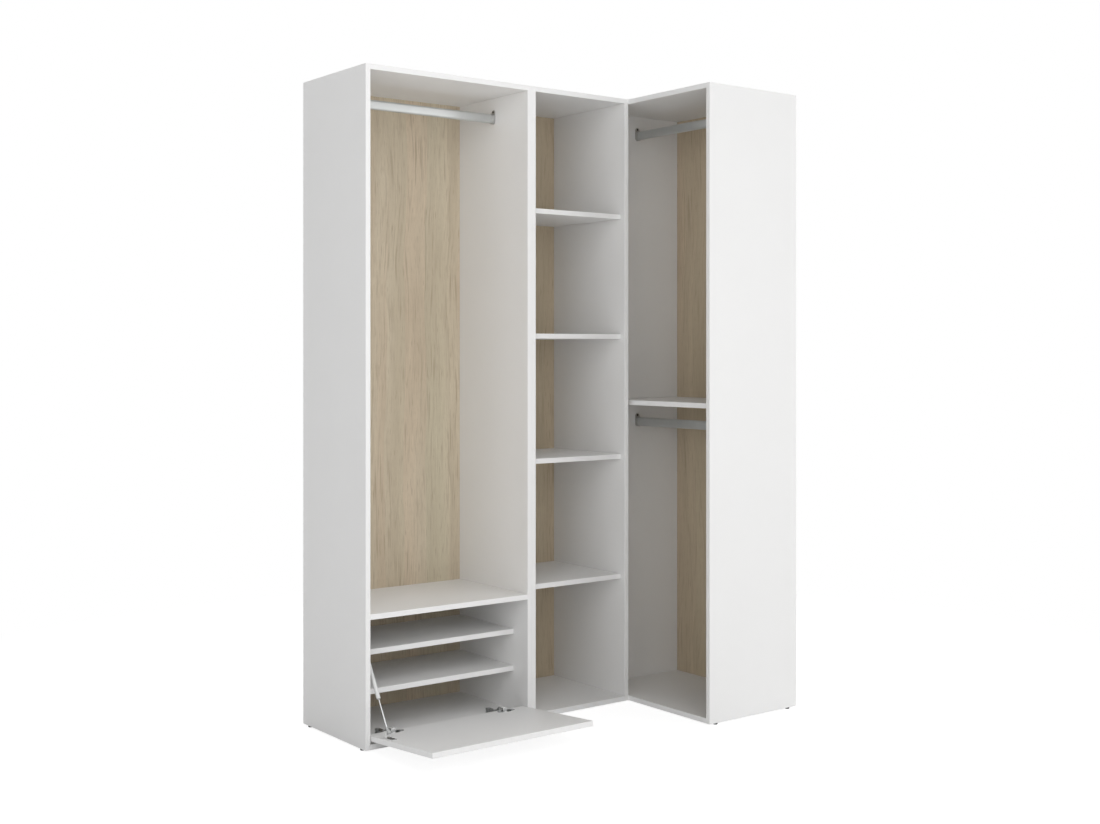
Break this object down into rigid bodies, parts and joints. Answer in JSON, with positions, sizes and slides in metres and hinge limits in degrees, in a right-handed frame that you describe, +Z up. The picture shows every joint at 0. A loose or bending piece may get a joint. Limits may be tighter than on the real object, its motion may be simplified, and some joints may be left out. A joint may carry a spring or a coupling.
{
  "type": "corner wardrobe",
  "caption": "L-shaped open corner wardrobe with hanging rails, shelves, oak-look backs, a bench and a shoe compartment behind a drop-down flap on a gas strut.",
  "frame": {"origin": "on the floor, below the middle of the plan's bounding box", "axes": "+Z up, +X along the long wing towards the corner, the long wing's fronts face -Y"},
  "size_m": [1.39, 0.78, 2.005],
  "materials": {
    "white_board": "white melamine on chipboard, satin, with matching edge band",
    "oak_back": "pale oak decor on thin fibreboard, satin, upright grain",
    "rail_chrome": "bright chrome plate",
    "bracket_steel": "nickel plate",
    "hinge_nickel": "nickel plate",
    "dark_screw": "black phosphate",
    "zinc_steel": "zinc plate",
    "dowel_beech": "raw fluted beech",
    "strut_paint": "light grey enamel",
    "grey_plastic": "moulded, matt",
    "black_plastic": "moulded, matt"
  },
  "bodies": {
    "carcass": {"back_nails": "zinc_steel", "cam_bolts": "zinc_steel", "cam_discs": "zinc_steel", "corner_angles": "zinc_steel", "corner_screws": "zinc_steel", "dowels": "dowel_beech", "glide_nails": "zinc_steel", "glides": "black_plastic", "hinge_arm_screws": "zinc_steel", "hinge_arms": "hinge_nickel", "hinge_plate_screws": "zinc_steel", "hinge_plates": "hinge_nickel", "left_back": "oak_back", "left_bench": "white_board", "left_bottom": "white_board", "left_inner_side": "white_board", "left_outer_side": "white_board", "left_rail": "rail_chrome", "left_top": "white_board", "middle_back": "oak_back", "middle_bottom": "white_board", "middle_left_side": "white_board", "middle_right_side": "white_board", "middle_shelf_1": "white_board", "middle_shelf_2": "white_board", "middle_shelf_3": "white_board", "middle_shelf_4": "white_board", "middle_top": "white_board", "module_screws": "zinc_steel", "rail_brackets": "bracket_steel", "rail_screws": "dark_screw", "right_back": "oak_back", "right_bottom": "white_board", "right_end_side": "white_board", "right_inner_side": "white_board", "right_lower_rail": "rail_chrome", "right_shelf": "white_board", "right_top": "white_board", "right_upper_rail": "rail_chrome", "shelf_pins": "zinc_steel", "shoe_shelf_lower": "white_board", "shoe_shelf_upper": "white_board", "strut_plate": "bracket_steel", "strut_plate_screws": "dark_screw"},
    "flap": {"flap_panel": "white_board", "hinge_cups": "hinge_nickel", "hinge_pins": "hinge_nickel", "hinge_cup_screws": "zinc_steel", "strut_foot": "bracket_steel", "strut_foot_screws": "dark_screw"},
    "strut_barrel": {"strut_tube": "strut_paint", "strut_guide": "grey_plastic", "strut_tube_end": "grey_plastic"},
    "strut_plunger": {"strut_rod": "rail_chrome", "strut_piston": "zinc_steel", "strut_rod_end": "grey_plastic"}
  },
  "joints": [
    {"name": "flap_hinge", "type": "hinge", "parent": "carcass", "child": "flap", "pos_m": [-0.395, 0.0105, 0.0395], "axis": [-1, 0, 0], "range_deg": [0, 85.7]},
    {"name": "strut_swing", "type": "hinge", "parent": "carcass", "child": "strut_barrel", "pos_m": [-0.657, 0.066, 0.275], "axis": [1, 0, 0], "range_deg": [0, 20.03]},
    {"name": "strut_slide", "type": "slide", "parent": "strut_barrel", "child": "strut_plunger", "axis": [0, 0.5276, 0.8495], "range_m": [0, 0.08128]}
  ],
  "couplings": [
    {"joint": "strut_swing", "follows": "flap_hinge", "ratio": 0.23362},
    {"joint": "strut_slide", "follows": "flap_hinge", "m_per_rad": 0.054337}
  ]
}
